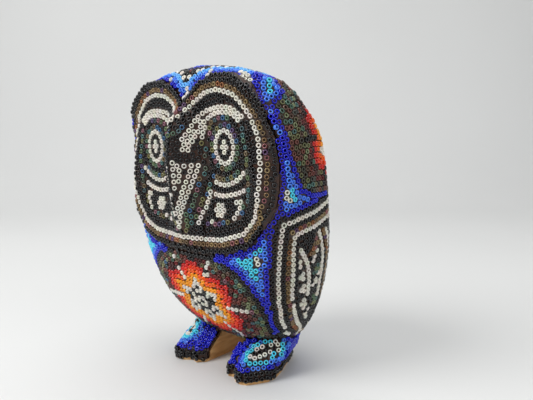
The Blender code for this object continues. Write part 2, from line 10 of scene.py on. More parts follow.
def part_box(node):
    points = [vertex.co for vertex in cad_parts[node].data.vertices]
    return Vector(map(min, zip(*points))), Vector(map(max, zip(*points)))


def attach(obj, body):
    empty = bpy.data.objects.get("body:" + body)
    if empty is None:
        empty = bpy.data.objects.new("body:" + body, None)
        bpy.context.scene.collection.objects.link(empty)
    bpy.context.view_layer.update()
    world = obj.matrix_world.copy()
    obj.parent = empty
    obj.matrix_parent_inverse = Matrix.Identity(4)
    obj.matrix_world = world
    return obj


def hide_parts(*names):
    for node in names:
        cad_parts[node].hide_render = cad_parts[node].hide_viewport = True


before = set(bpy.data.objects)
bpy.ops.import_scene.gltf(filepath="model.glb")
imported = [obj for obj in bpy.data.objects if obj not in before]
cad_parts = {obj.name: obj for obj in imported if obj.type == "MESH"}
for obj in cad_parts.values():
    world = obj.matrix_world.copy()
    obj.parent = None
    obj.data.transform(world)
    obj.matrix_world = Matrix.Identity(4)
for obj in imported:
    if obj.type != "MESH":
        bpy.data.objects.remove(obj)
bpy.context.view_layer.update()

MM = 0.001

# The glass beads, and how closely their strings and rows lie.
PITCH = 2.25
ROW = 1.97
BEAD_RADIUS = 1.02
HOLE_RADIUS = 0.49
BEAD_LENGTH = 1.35
SEGMENTS = 12
PROFILE = 7
SIZE_SPREAD = 0.035
TILT_SPREAD = 0.07
SUNK = 0.06
GAP = 0.15

# Walking over the surface.
LIFT = 1.0
SMOOTHING = 2.2
RIM_POINTS = 6
TRACE_STEP = 0.7
LEAST_STEP = 0.3
LEAST_LOOP = 6
LEVEL_SLACK = 0.45
NEAR_LEVEL = 0.3
LONGEST_ROW = 700
WALK_STRIDE = 1.0
OUTSIDE = 120.0
OUTWARD = 0.25

# The least room between two beads, in pitches, for each way of laying them.
LEAST_APART = 0.87
LATTICE_APART = 0.86
CROWDED = 0.82
ROW_APART = 0.82
START_APART = 0.8
SINGLE_APART = 0.8
STRING_APART = 0.72
RING_APART = 0.98

# Straight rows lie a little closer than the others, and a filled bead lies just inside a pitch.
LATTICE_CLOSENESS = 0.96
FILL_TURNS = 16
FILL_REACH = 0.97
FILL_NEIGHBOURS = 1.3
MOST_SLIP = 0.7

# Settling: beads closer than PUSHING pitches push each other, those of the drawing hardly moving.
PUSHING = 1.12
LEAST_PUSH = 0.02
MOST_MOVED = 0.3
STIFF = 0.02
YIELDING = {None: 0.4, "black": 0.35, "cobalt": 0.35, "blue": 0.3, "sky": 0.3, "turquoise": 0.3,
            "rainbow": 0.06}
RELAXING = 6
FILLING = 2

# How far the middle of the body, which its beads face away from, stays from its foot and head.
CORE_FOOT = 22.0
CORE_HEAD = 30.0

CENTRE_BEADS = ("face_border_beads", "face_outline_beads", "beak_beads", "crown_beads",
                "spine_beads", "tail_beads", "chest_flower_beads", "chest_border_beads")
PAIRED_BEADS = ("face_disc_beads", "eye_beads", "side_beads", "wing_border_beads",
                "wing_feather_beads", "back_flower_beads", "foot_beads")
SIDES = (("left", 1.0), ("right", -1.0))
BEAD_NODES = CENTRE_BEADS + tuple(f"{side}_{name}" for side, _ in SIDES for name in PAIRED_BEADS)

rng = random.Random(11)


def srgb(red, green, blue):
    """A screen colour from 0 to 255 as linear light."""
    def linear(value):
        value /= 255.0
        return value / 12.92 if value <= 0.04045 else ((value + 0.055) / 1.055) ** 2.4
    return (linear(red), linear(green), linear(blue))


# Glass colours, and how much each shines like metal.
COLOURS = {
    "white": (srgb(232, 228, 216), 0.0),
    "black": (srgb(9, 9, 11), 0.0),
    "navy": (srgb(22, 22, 82), 0.1),
    "cobalt": (srgb(14, 26, 196), 0.0),
    "blue": (srgb(72, 132, 242), 0.0),
    "sky": (srgb(104, 184, 248), 0.0),
    "turquoise": (srgb(78, 214, 238), 0.0),
    "red": (srgb(214, 22, 16), 0.0),
    "scarlet": (srgb(240, 62, 12), 0.0),
    "orange": (srgb(250, 104, 8), 0.0),
    "yellow": (srgb(252, 164, 10), 0.0),
}
# Lustred glass is never one colour: each string is mixed from several.
MIXES = {
    "bronze": ((128, 104, 70), (146, 124, 86), (112, 90, 62), (126, 98, 66), (140, 116, 76), (116, 94, 66),
               (136, 84, 86), (96, 70, 104), (148, 96, 60)),
    "rainbow": ((92, 118, 96), (76, 114, 114), (66, 104, 140), (122, 118, 76), (102, 120, 86), (114, 110, 74),
                (134, 92, 104), (96, 78, 116), (76, 98, 102), (122, 106, 80), (88, 96, 84)),
    "leaf": ((92, 114, 90), (80, 114, 106), (112, 112, 74), (76, 100, 94), (106, 116, 82)),
    "dusk": ((100, 92, 68), (112, 68, 58), (78, 108, 94), (110, 112, 76), (70, 70, 62), (128, 136, 100),
             (98, 76, 64), (118, 72, 62), (82, 116, 112), (56, 56, 52)),
    "garnet": ((96, 26, 26), (120, 34, 34), (74, 30, 30), (58, 42, 40), (108, 50, 42)),
}


LUSTRE = 0.35
STRING_SPREAD = 0.09
CHANNEL_SPREAD = 0.04


def tone(name):
    """One bead's colour and metal shine, drawn from the string it comes from."""
    if name in COLOURS:
        base, shine = COLOURS[name]
    else:
        base, shine = srgb(*rng.choice(MIXES[name])), LUSTRE
    lift = 1.0 + rng.uniform(-STRING_SPREAD, STRING_SPREAD)
    return tuple(min(value * lift * (1.0 + rng.uniform(-CHANNEL_SPREAD, CHANNEL_SPREAD)), 1.0)
                 for value in base), shine


class Panels:
    """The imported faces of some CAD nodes, for finding what is nearest to a point."""

    def __init__(self, names):
        corners, faces = [], []
        self.owners = []
        for name in names:
            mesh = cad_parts[name].data
            first = len(corners)
            corners += [corner.co / MM for corner in mesh.vertices]
            for face in mesh.polygons:
                faces.append([first + index for index in face.vertices])
                self.owners.append(name)
        self.tree = BVHTree.FromPolygons(corners, faces)

    def nearest(self, point):
        spot, _, index, _ = self.tree.find_nearest(point)
        return spot, self.owners[index]

    def away(self, point):
        """How far a point is from the panels, and the way away from them."""
        spot, _, _, distance = self.tree.find_nearest(point)
        return distance, point - spot


beadwork = Panels(BEAD_NODES)


def others(*names):
    """Every bead panel but these."""
    return Panels([name for name in BEAD_NODES if name not in names])


def settle(point, facing):
    """The beadwork's surface under a point, the way it faces there and the panel it is on."""
    spot, owner = beadwork.nearest(point + facing * LIFT)
    across = facing.orthogonal().normalized()
    up = facing.cross(across)
    rim = []
    for turn in range(RIM_POINTS):
        angle = math.tau * turn / RIM_POINTS
        reach = (across * math.cos(angle) + up * math.sin(angle)) * SMOOTHING
        rim.append(beadwork.nearest(spot + facing * LIFT + reach)[0])
    normal = Vector()
    for one, two in zip(rim, rim[1:] + rim[:1]):
        normal += (one - spot).cross(two - spot)
    if normal.dot(facing) <= 0.0:
        return spot, facing, owner
    return spot, normal.normalized(), owner


class Beads:
    """The beads laid so far, with a coarse grid for finding the ones near a point."""

    def __init__(self):
        self.spots, self.facings, self.owners, self.names = [], [], [], []
        self.cells = {}

    def cell(self, spot):
        return tuple(int(math.floor(value / PITCH)) for value in spot)

    def near(self, spot, reach):
        """The nearby beads as (distance, number), for a reach of up to one pitch."""
        home = self.cell(spot)
        found = []
        for x in (-1, 0, 1):
            for y in (-1, 0, 1):
                for z in (-1, 0, 1):
                    for number in self.cells.get((home[0] + x, home[1] + y, home[2] + z), ()):
                        distance = (self.spots[number] - spot).length
                        if distance < reach:
                            found.append((distance, number))
        return found

    def lay(self, spot, facing, owner, name, apart=LEAST_APART):
        """Adds a bead if it has room, and says whether it did."""
        if self.near(spot, apart * PITCH):
            return False
        self.cells.setdefault(self.cell(spot), []).append(len(self.spots))
        self.spots.append(spot)
        self.facings.append(facing)
        self.owners.append(owner)
        self.names.append(name)
        return True

    def relax(self, passes):
        """Beads push their neighbours apart until they are evenly spread; the drawing's move least."""
        for _ in range(passes):
            moved = []
            for number, spot in enumerate(self.spots):
                push = Vector()
                for distance, other in self.near(spot, PITCH * PUSHING):
                    if other != number and distance > 0.01:
                        push += (spot - self.spots[other]) * ((PITCH * PUSHING - distance) / distance)
                push = push * YIELDING.get(self.names[number], STIFF)
                if push.length > MOST_MOVED:
                    push = push * (MOST_MOVED / push.length)
                stays = push.length <= LEAST_PUSH
                moved.append(None if stays else settle(spot + push, self.facings[number]))
            for number, landed in enumerate(moved):
                if landed:
                    self.spots[number], self.facings[number], self.owners[number] = landed
            self.cells = {}
            for number, spot in enumerate(self.spots):
                self.cells.setdefault(self.cell(spot), []).append(number)


beads = Beads()


def middle_of(node):
    low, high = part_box(node)
    return (Vector(low) + Vector(high)) / (2.0 * MM)


FOOT_MIDDLES = {f"{side}_foot_beads": middle_of(f"{side}_foot_beads") for side, _ in SIDES}
BODY_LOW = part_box("wax_coat")[0][2] / MM + CORE_FOOT
BODY_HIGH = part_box("wax_coat")[1][2] / MM - CORE_HEAD


def core(owner, spot):
    """A point well inside the owl, or inside one foot, behind a spot on its surface."""
    if owner in FOOT_MIDDLES:
        return Vector((FOOT_MIDDLES[owner].x, FOOT_MIDDLES[owner].y, 0.0))
    return Vector((0.0, 0.0, min(max(spot.z, BODY_LOW), BODY_HIGH)))


scattered = {}


def scatter(zone):
    """Points over the outward faces of some panels, about one to the square millimetre."""
    if zone in scattered:
        return scattered[zone]
    found = []
    for name in zone:
        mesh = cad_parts[name].data
        for face in mesh.polygons:
            middle = face.center / MM
            outward = (middle - core(name, middle)).normalized()
            if face.normal.dot(outward) < OUTWARD:
                continue
            corners = [mesh.vertices[index].co / MM for index in face.vertices]
            for _ in range(max(1, round(face.area / MM ** 2))):
                one, two = rng.random(), rng.random()
                if one + two > 1.0:
                    one, two = 1.0 - one, 1.0 - two
                spot = (corners[0] + (corners[1] - corners[0]) * one
                        + (corners[2] - corners[0]) * two)
                found.append((spot, face.normal.copy()))
    scattered[zone] = found
    return found


def level_way(away, facing):
    """The way away from a fence, laid flat on the surface."""
    flat = away - facing * away.dot(facing)
    return flat.normalized() if flat.length > 1e-6 else facing.orthogonal().normalized()


def follow(start, facing, zone, fence, level):
    """A line over the beads that keeps a set distance from a fence, and whether it closes."""
    sides = []
    for way in (1.0, -1.0):
        side = []
        spot, normal, ahead = start, facing, None
        while len(side) < LONGEST_ROW:
            along = normal.cross(level_way(fence(spot)[1], normal)) * way
            if ahead is not None and along.dot(ahead) < 0.0:
                break
            step, turned, owner = settle(spot + along * TRACE_STEP, normal)
            off, away = fence(step)
            step, turned, owner = settle(step + level_way(away, turned) * (level - off), turned)
            moved = (step - spot).length
            strayed = abs(fence(step)[0] - level) > LEVEL_SLACK
            if owner not in zone or strayed or moved < TRACE_STEP * LEAST_STEP:
                break
            spot, normal, ahead = step, turned, along
            side.append((spot, normal, owner))
            if len(side) > LEAST_LOOP and (spot - start).length < TRACE_STEP:
                return side, True
        sides.append(side)
    first = settle(start, facing)
    return sides[1][::-1] + [first] + sides[0], False


def lay_line(line, closed, name, pitch=PITCH, apart=ROW_APART):
    """Beads set evenly along a line."""
    spots = [entry[0] for entry in line]
    if closed:
        line = line + line[:1]
        spots.append(spots[0])
    runs = [0.0]
    for one, two in zip(spots, spots[1:]):
        runs.append(runs[-1] + (two - one).length)
    total = runs[-1]
    count = max(1, round(total / pitch)) if closed else round(total / pitch) + 1
    gap = total / count if closed else total / max(count - 1, 1)
    place = 0
    for number in range(count):
        run = number * gap if count > 1 else total / 2.0
        while place < len(runs) - 2 and runs[place + 1] < run:
            place += 1
        span = max(runs[min(place + 1, len(runs) - 1)] - runs[place], 1e-6)
        part = min((run - runs[place]) / span, 1.0)
        spot = spots[place].lerp(spots[min(place + 1, len(spots) - 1)], part)
        landed, facing, owner = settle(spot, line[place][1])
        beads.lay(landed, facing, owner, name, apart)


def lay_rows(zone, fence, levels, name=None, shortest=3):
    """Rows of beads at set distances from a fence, wherever such a row runs over the zone."""
    points = [(spot, facing, fence(spot)[0]) for spot, facing in scatter(zone)]
    for level in levels:
        for spot, facing, off in points:
            if abs(off - level) > NEAR_LEVEL or beads.near(spot, START_APART * PITCH):
                continue
            start, normal, owner = settle(spot, facing)
            if owner not in zone:
                continue
            line, closed = follow(start, normal, zone, fence, level)
            if len(line) >= shortest:
                lay_line(line, closed, name)


def walk(spot, facing, heading, distance):
    """The end of a straight walk over the surface."""
    steps = max(1, round(abs(distance) / WALK_STRIDE))
    stride = distance / steps
    owner = ""
    for _ in range(steps):
        heading = (heading - facing * heading.dot(facing)).normalized()
        spot, facing, owner = settle(spot + heading * stride, facing)
    heading = (heading - facing * heading.dot(facing)).normalized()
    return spot, facing, heading, owner


def lay_lattice(centre, facing, heading, zone, rows, columns, reach):
    """Straight nested rows of beads over a panel, worked outward from a centre."""
    up = facing.cross(heading).normalized()
    for row in sorted(range(-rows, rows + 1), key=abs):
        if row:
            spot, normal, _, _ = walk(centre, facing, up, row * ROW * LATTICE_CLOSENESS)
        else:
            spot, normal = centre, facing
        shift = 0.5 if row % 2 else 0.0
        for way in (1.0, -1.0):
            place, turned, owner = spot, normal, None
            along = heading * way
            for column in range(columns):
                if column == 0:
                    far = shift * PITCH if way > 0 else (1.0 - shift) * PITCH
                    if far:
                        place, turned, along, owner = walk(place, turned, along, far)
                    else:
                        place, turned, owner = settle(place, turned)
                else:
                    place, turned, along, owner = walk(place, turned, along, PITCH)
                if owner in zone and (place - centre).length < reach:
                    beads.lay(place, turned, owner, None, LATTICE_APART)


def fill(zone, apart=LEAST_APART):
    """Fills what is left of some panels, each bead against ones already laid."""
    queue = [number for number, owner in enumerate(beads.owners) if owner in zone]
    if not queue:
        spot, facing = scatter(zone)[0]
        beads.lay(*settle(spot, facing), None)
        queue = [len(beads.spots) - 1]
    place = 0
    while place < len(queue):
        number = queue[place]
        place += 1
        spot, facing = beads.spots[number], beads.facings[number]
        across = facing.orthogonal().normalized()
        up = facing.cross(across)
        choices = []
        for turn in range(FILL_TURNS):
            angle = math.tau * turn / FILL_TURNS
            reach = (across * math.cos(angle) + up * math.sin(angle)) * PITCH * FILL_REACH
            landed, normal, owner = settle(spot + reach, facing)
            if owner not in zone or (landed - spot - reach).cross(facing).length > MOST_SLIP:
                continue
            close = beads.near(landed, PITCH * FILL_NEIGHBOURS)
            if close and min(close)[0] < apart * PITCH:
                continue
            total = sum(distance for distance, _ in close)
            choices.append((-len(close), total, turn, landed, normal, owner))
        for _, _, _, landed, normal, owner in sorted(choices, key=lambda entry: entry[:3]):
            if beads.lay(landed, normal, owner, None, apart):
                queue.append(len(beads.spots) - 1)


def from_front(x, z):
    """Where a point of the front view lies on the beadwork."""
    start = Vector((x, -OUTSIDE, z))
    return beadwork.tree.ray_cast(start, Vector((0.0, 1.0, 0.0)))[:2]


def from_side(side, y, z):
    """Where a point of a side view lies on the beadwork."""
    start = Vector((side * OUTSIDE, y, z))
    return beadwork.tree.ray_cast(start, Vector((-side, 0.0, 0.0)))[:2]


def string(points, name, pitch=PITCH, closed=False):
    """A string of beads laid along points already on the beadwork."""
    points = [entry for entry in points if entry[0] is not None]
    if closed:
        points = points + points[:1]
    line = []
    for (one, facing), (two, _) in zip(points, points[1:]):
        steps = max(1, round((two - one).length / TRACE_STEP))
        for step in range(steps):
            line.append(settle(one.lerp(two, step / steps), facing))
    if not closed or len(points) == 1:
        line.append(settle(*points[-1]))
    lay_line(line, closed, name, pitch, STRING_APART)


def single(point, name):
    """One bead on its own."""
    if point[0] is not None:
        spot, facing, owner = settle(*point)
        beads.lay(spot, facing, owner, name, SINGLE_APART)


# The face. Places are from the middle of each eye panel, which the frame gives.
EYE_WHITE = (4.9, 6.3)
EYE_COLOURED = (7.0, 8.4)
WHITE_CORNERS = 16
COLOURED_CORNERS = 22
PUPIL = ((0.0, 1.95), (-1.1, 0.0), (1.1, 0.0), (0.0, -1.95))
BROW_TOP = ((9.4, 11.0), (6.8, 13.1), (3.4, 14.6), (0.0, 15.1), (-3.6, 15.0), (-7.0, 14.4), (-10.0, 13.7),
            (-12.3, 12.2), (-13.6, 10.2), (-14.7, 7.9), (-16.0, 5.3), (-17.2, 3.0))
BROW_UNDER = ((7.6, 10.6), (4.6, 12.3), (1.0, 13.1), (-2.6, 13.1), (-6.0, 12.5), (-8.6, 11.2), (-10.6, 9.2),
              (-11.9, 6.9), (-13.0, 4.6), (-14.0, 2.4), (-15.2, 0.6))
BROW_MIDDLE = ((-10.4, 11.6), (-12.0, 9.2), (-13.3, 6.7), (-14.4, 4.4), (-15.6, 2.3))
BROW_POINT = ((-15.4, -1.2), (-17.0, -1.0), (-16.6, 1.0))
BROW_INNER = ((-9.0, 9.2), (-10.2, 6.4), (-11.0, 3.9))
BROW_LINING = ((9.6, 7.4), (6.6, 9.8), (3.0, 11.1), (-1.0, 11.2), (-4.4, 10.6), (-6.8, 9.2), (-8.6, 6.6),
               (-9.6, 3.6), (-9.9, 0.4), (-9.7, -3.0))
SMILE = ((-5.6, -13.6), (-3.4, -14.3), (-1.2, -14.5), (1.2, -14.2), (3.4, -13.5), (5.6, -12.5), (7.6, -11.2),
         (9.4, -9.6))
SMILE_COLOURED = ((-7.4, -11.2), (-5.2, -12.0), (-2.8, -12.4), (-0.4, -12.3), (2.0, -11.8), (4.4, -10.8),
                  (6.6, -9.4))
SHELF = ((-8.0, -17.6), (-5.8, -18.3), (-3.4, -18.6), (-1.0, -18.6), (1.4, -18.3), (3.8, -17.8), (6.2, -17.1),
         (8.8, -16.2))
SHELF_DROP = ((-9.0, -19.5), (-10.0, -21.6), (-10.9, -23.7), (-11.7, -25.8), (-12.4, -27.8), (-13.0, -29.8))
DROP_COLOURED = ((-8.6, -14.6), (-9.9, -16.6), (-11.0, -19.0), (-12.0, -21.4), (-13.0, -23.8), (-13.9, -26.2),
                 (-14.8, -28.4))
FLOWER_MIDDLE = -3.0
FLOWER_HALF = 1.08
FLOWER = ((FLOWER_MIDDLE, -24.2), (FLOWER_MIDDLE + FLOWER_HALF, -22.3), (FLOWER_MIDDLE - FLOWER_HALF, -22.3),
          (FLOWER_MIDDLE + 2 * FLOWER_HALF, -24.2), (FLOWER_MIDDLE - 2 * FLOWER_HALF, -24.2),
          (FLOWER_MIDDLE + FLOWER_HALF, -26.1), (FLOWER_MIDDLE - FLOWER_HALF, -26.1))
HOOK = ((5.4, -20.6), (7.5, -20.4), (7.3, -22.6), (6.1, -24.6), (4.7, -26.6))
LONE = (-7.2, -29.0)
FACE_WHITES = (BROW_TOP, BROW_UNDER, BROW_MIDDLE, BROW_POINT, BROW_INNER, SMILE, SHELF, SHELF_DROP)
FACE_COLOURED = (BROW_LINING, SMILE_COLOURED, DROP_COLOURED)
# The beak, from the middle of the top of its panel.
BEAK_LINE = ((9.6, -1.4), (8.8, -4.2), (7.8, -7.0), (6.8, -9.8), (5.7, -12.6), (4.6, -15.4), (3.4, -18.2),
             (2.3, -21.0), (1.2, -23.8), (0.2, -26.4))
BEAK_INNER = ((7.6, -1.4), (6.9, -4.2), (5.9, -7.0), (4.9, -9.8), (3.8, -12.6), (2.7, -15.4), (1.6, -18.2),
              (0.6, -20.6))
BEAK_COLOURED = ((11.9, -2.6), (11.0, -5.2), (10.0, -8.2), (9.0, -11.0), (7.9, -13.8), (6.8, -16.6),
                 (5.7, -19.4), (4.6, -22.2), (3.4, -25.0), (2.2, -27.4))
NOTCH = ((0.01, 16.7), (1.8, 18.0), (-1.8, 18.0))
OFF_SEAM = 0.01
BEAK_BAR = ((3.4, -1.6), (5.5, -1.6))
# The first of these lies over the gap between two panels, so its ray lands on the owl's back, and
# this string runs through the body instead of down the ridge: a known fault, kept as it is.
RIDGE_TOP = ((0.0, 0.6), (0.0, -13.0))
RIDGE_SIDE = ((2.1, -0.4), (1.9, -10.4))
RIDGE_WIDE = ((4.0, -3.4), (3.4, -7.6))
BEAK_WHITES = (RIDGE_SIDE, BEAK_LINE, BEAK_INNER, RIDGE_WIDE, BEAK_BAR)


BEAK_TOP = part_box("beak_beads")[1][2] / MM


def lay_face():
    """The strings of the face that make its drawing, on both halves."""
    for side, way in SIDES:
        eye = middle_of(f"{side}_eye_beads")

        def at(place):
            return from_front(eye.x + way * place[0], eye.z + place[1])

        def ellipse(radii, count):
            angles = [math.tau * k / count for k in range(count)]
            return [at((radii[0] * math.cos(angle), radii[1] * math.sin(angle))) for angle in angles]

        string(ellipse(EYE_WHITE, WHITE_CORNERS), "white", closed=True)
        for place in PUPIL:
            single(at(place), "white")
        for places in FACE_WHITES:
            string([at(place) for place in places], "white")
        for place in FLOWER + HOOK + (LONE,):
            single(at(place), "white")
        string(ellipse(EYE_COLOURED, COLOURED_CORNERS), "rainbow", closed=True)
        for places in FACE_COLOURED:
            string([at(place) for place in places], "rainbow")


def lay_beak():
    """The white and coloured strings down the beak, which meet at its tip."""
    def on(place, way):
        return from_front(way * place[0] + OFF_SEAM, BEAK_TOP + place[1])

    string([on(place, 1.0) for place in RIDGE_TOP], "white")
    for _, way in SIDES:
        for places in BEAK_WHITES:
            string([on(place, way) for place in places], "white")
        string([on(place, way) for place in BEAK_COLOURED], "rainbow")


FACE = ("left_face_disc_beads", "right_face_disc_beads", "left_eye_beads", "right_eye_beads",
        "beak_beads")
ring_fence = Panels(["face_outline_beads"]).away
disc_fence = Panels(FACE).away
FIRST = GAP + BEAD_RADIUS


def level(number):
    """How far a numbered row lies from its fence."""
    return FIRST + number * ROW


for x, rise in NOTCH:
    single(from_front(x, BEAK_TOP + rise), "white")
lay_rows(("face_outline_beads",), disc_fence, (level(0),), "white")
lay_rows(("face_border_beads",), ring_fence, (level(0),), "bronze")
lay_rows(("face_border_beads",), ring_fence, [level(k) for k in range(1, 4)])
lay_beak()
lay_face()
lay_rows(FACE, ring_fence, [level(0), level(1)], "black")
lay_rows(FACE, ring_fence, [level(2)], "rainbow")
lay_rows(FACE, ring_fence, [level(3)], "black")
fill(FACE)
fill(("face_outline_beads",), RING_APART)
fill(("face_border_beads",))

# The wings. Places are from the middle of each feather panel, moved by LEAF_START.
WING_ROWS = ("black", "white", "black", "bronze", "white", "black")
LEAF_START = (0.0, -6.05, -0.6)
LEAF_PITCH = 1.9
LEAF_SHIFTS = (0.0, 2.1, 4.0)
LEAF_FRONT = ((-9.8, 11.0), (-7.8, 8.8), (-6.0, 6.6), (-4.4, 4.4), (-3.0, 1.4), (-2.0, -1.6), (-1.3, -4.4),
              (-0.7, -7.0), (0.0, -10.0), (0.3, -12.6), (-0.1, -14.8), (-0.3, -17.0))
LEAF_BACK = ((0.6, 17.4), (2.4, 15.0), (4.0, 12.0), (5.4, 9.0), (6.1, 6.2), (6.7, 3.2), (7.0, 0.4),
             (7.1, -2.4), (7.4, -5.4), (7.7, -8.2), (8.2, -10.8))
WING_SPOTS = ((-9.2, 6.2), (-8.6, 4.1), (-6.2, 0.8), (-7.4, -0.6), (-5.4, -1.4), (-7.1, -2.8), (-4.0, -4.7),
              (-4.9, -6.4), (-3.2, -7.0), (-5.0, -8.6), (-2.8, -11.0), (-2.3, -13.2), (3.6, -21.2),
              (5.2, -22.6), (4.6, -20.4))
BACK_BRONZE = 3.7
BACK_WHITE = 5.8
LEAVES = (((-1.2, 14.8), (-3.6, 8.8), "bronze"), ((3.3, 3.0), (0.9, 0.2), "leaf"),
          ((5.2, -11.0), (4.0, -14.4), "leaf"))
LEAF_WHITES = ((0.6, 9.6), (-0.6, 7.4), (-1.4, 5.6), (4.6, -0.6), (3.4, -3.0), (2.2, -5.2), (4.4, -4.4),
               (3.6, -16.4), (2.8, -18.4), (4.6, -15.2))


def lay_wings():
    """Rows that follow each wing's edge, then the leaves inside it."""
    for side, way in SIDES:
        wing = (f"{side}_wing_border_beads", f"{side}_wing_feather_beads")
        fence = others(*wing, "left_foot_beads", "right_foot_beads").away
        for number, name in enumerate(WING_ROWS):
            lay_rows(wing, fence, (level(number),), name)
        heart = middle_of(f"{side}_wing_feather_beads") + Vector(LEAF_START)

        def beside(place):
            return from_side(way, heart.y + place[0], heart.z + place[1])

        string([beside(place) for place in LEAF_FRONT], "white", LEAF_PITCH)
        string([beside(place) for place in LEAF_BACK], "white", LEAF_PITCH)
        string([beside((y + BACK_BRONZE, z)) for y, z in LEAF_BACK], "bronze", LEAF_PITCH)
        string([beside((y + BACK_WHITE, z)) for y, z in LEAF_BACK], "white", LEAF_PITCH)
        for place in WING_SPOTS + LEAF_WHITES:
            single(beside(place), "white")
        for head, foot, name in LEAVES:
            for shift in LEAF_SHIFTS:
                ends = ((head[0] + shift, head[1]), (foot[0] + shift, foot[1]))
                string([beside(place) for place in ends], name)
        fill(wing)


lay_wings()

# The blue fields between face, wing and chest.
SIDE_ROWS = ("cobalt", "blue", "turquoise", "turquoise", "turquoise")
# Places of white beads in a side view of this owl. Like BACK_HEART and FOOT_AXIS below, they are
# fixed places, and don't follow the frame if the owl's size changes.
WHITES_BESIDE = ((-15.6, 79.9), (-15.6, 77.9), (-14.2, 76.9), (-20.8, 54.5), (-20.4, 52.6))
for side, way in SIDES:
    zone = (f"{side}_side_beads",)
    fence = others(*zone).away
    for y, z in WHITES_BESIDE:
        single(from_side(way, y, z), "white")
    for number, name in enumerate(SIDE_ROWS):
        lay_rows(zone, fence, (level(number),), name)
    fill(zone)

# The crown, the strip down the back and the tail: rows that follow their edges, mostly blue.
CROWN_ROWS = ("cobalt", "blue", "sky", "white", "black", "navy", "cobalt", "blue", "sky", "white", "black",
              "cobalt", "blue")
for zone in (("crown_beads",), ("spine_beads",), ("tail_beads",)):
    fence = others(*zone).away
    lay_rows(zone, fence, [level(k) for k in range(len(CROWN_ROWS))])
    fill(zone)

# The chest: rows that follow its edge, then straight rows for the flower.
CHEST_SHARE = 0.48
CHEST_SPREAD = (16, 16, 40.0)
chest_fence = Panels(["chest_border_beads"]).away
chest_edge = others("chest_border_beads", "chest_flower_beads", "left_foot_beads", "right_foot_beads").away
lay_rows(("chest_border_beads",), chest_edge, (level(0),), "black")
lay_rows(("chest_border_beads",), chest_edge, (level(1),), "dusk")
fill(("chest_border_beads",))
lay_rows(("chest_flower_beads",), chest_fence, (level(0),))
chest_low, chest_high = (corner[2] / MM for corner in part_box("chest_flower_beads"))
chest_heart = from_front(OFF_SEAM, chest_low * CHEST_SHARE + chest_high * CHEST_SHARE)
heart, heart_facing, _ = settle(*chest_heart)
ACROSS = Vector((1.0, 0.0, 0.0))
lay_lattice(heart, heart_facing, ACROSS, ("chest_flower_beads",), *CHEST_SPREAD)
fill(("chest_flower_beads",))

# The flowers on the back, in straight rows.
BACK_HEART = (13.5, 101.0)
BACK_SPREAD = (16, 22, 80.0)
back_hearts = {}
for side, way in SIDES:
    zone = (f"{side}_back_flower_beads",)
    spot, facing, _ = settle(*from_side(way, *BACK_HEART))
    ahead = Vector((0.0, 0.0, 1.0)).cross(facing).normalized()
    back_hearts[side] = (spot, facing, ahead)
    lay_lattice(spot, facing, ahead, zone, *BACK_SPREAD)
    fill(zone)

# The feet: black rows along the sole, then a white diamond on the instep and rings round it.
FOOT_AXIS = ((21.6, -8.4), (26.0, -1.2))
FOOT_ROWS = ("black", "white", "turquoise", "blue", "cobalt", "cobalt", "cobalt")
FOOT_LIMIT = 14.9
INSTEP_HEIGHT = 14.0
INSTEP_FACING = Vector((0.0, -0.5, 1.0)).normalized()
foot_axes = {}
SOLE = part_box("left_foot_beads")[0][2] / MM


def ground_fence(point):
    """How high a point is over the lower edge of the feet's beads, and the way up."""
    return point.z - SOLE, Vector((0.0, 0.0, 1.0))


for side, way in SIDES:
    zone = (f"{side}_foot_beads",)
    lay_rows(zone, ground_fence, [level(k) - GAP for k in range(2)], "black")
    ends = []
    for x, y in FOOT_AXIS:
        above = Vector((way * x, y, FOOT_LIMIT))
        spot = Panels(zone).tree.ray_cast(above, Vector((0.0, 0.0, -1.0)))[0]
        if spot is None:
            spot = beadwork.nearest(Vector((way * x, y, INSTEP_HEIGHT)))[0]
        ends.append(spot)
    foot_axes[side] = ends

    def from_axis(point, ends=ends):
        run = ends[1] - ends[0]
        part = min(max((point - ends[0]).dot(run) / run.length_squared, 0.0), 1.0)
        away = point - ends[0].lerp(ends[1], part)
        return away.length, away

    toe, ankle = ends
    ahead = (ankle - toe).normalized() * ROW
    aside = INSTEP_FACING.cross(ahead).normalized() * ROW
    diamond = (toe - ahead, toe + aside, ankle + aside, ankle + ahead, ankle - aside, toe - aside)
    string([settle(end, INSTEP_FACING)[:2] for end in ends], "black")
    string([settle(corner, INSTEP_FACING)[:2] for corner in diamond], "white", closed=True)
    for number, name in enumerate(FOOT_ROWS[2:], 2):
        lay_rows(zone, from_axis, (number * ROW,), name)
    fill(zone)


# What colour each bead is that isn't on a named string. A flower's sizes run out from its middle.
HEART_BLACK = 1.2
HEART_WHITE = 2.6
HEART_END = 4.2
STAR_END = 13.0
STAR_MIDDLE = 7.6
STAR_LENGTH = 5.0
STAR_INSIDE = 1.0
STAR_NARROW = 1.0
STAR_SWELL = 2.0
STAR_GROUND = 9.2
RAY = (12.6, 23.5)
RAY_HALF = 0.95
CHEST_EDGE = 18.0
BACK_EDGE = 17.0
CHEST_WIDENING = 0.08
PETAL_DEPTH = 1.4
PETAL_BANDS = ((-4.8, "yellow"), (-3.0, "orange"), (-1.4, "scarlet"), (0.8, "red"))
LACE_END = 2.2
GARNET_END = 5.5
GARNET_SHARE = 0.6
DUSK_SHARE = 0.55


def flower_place(spot, heart, facing, ahead):
    """A bead's distance and angle from the middle of a flower."""
    off = spot - heart
    up = facing.cross(ahead)
    return off.length, math.atan2(off.dot(up), off.dot(ahead))


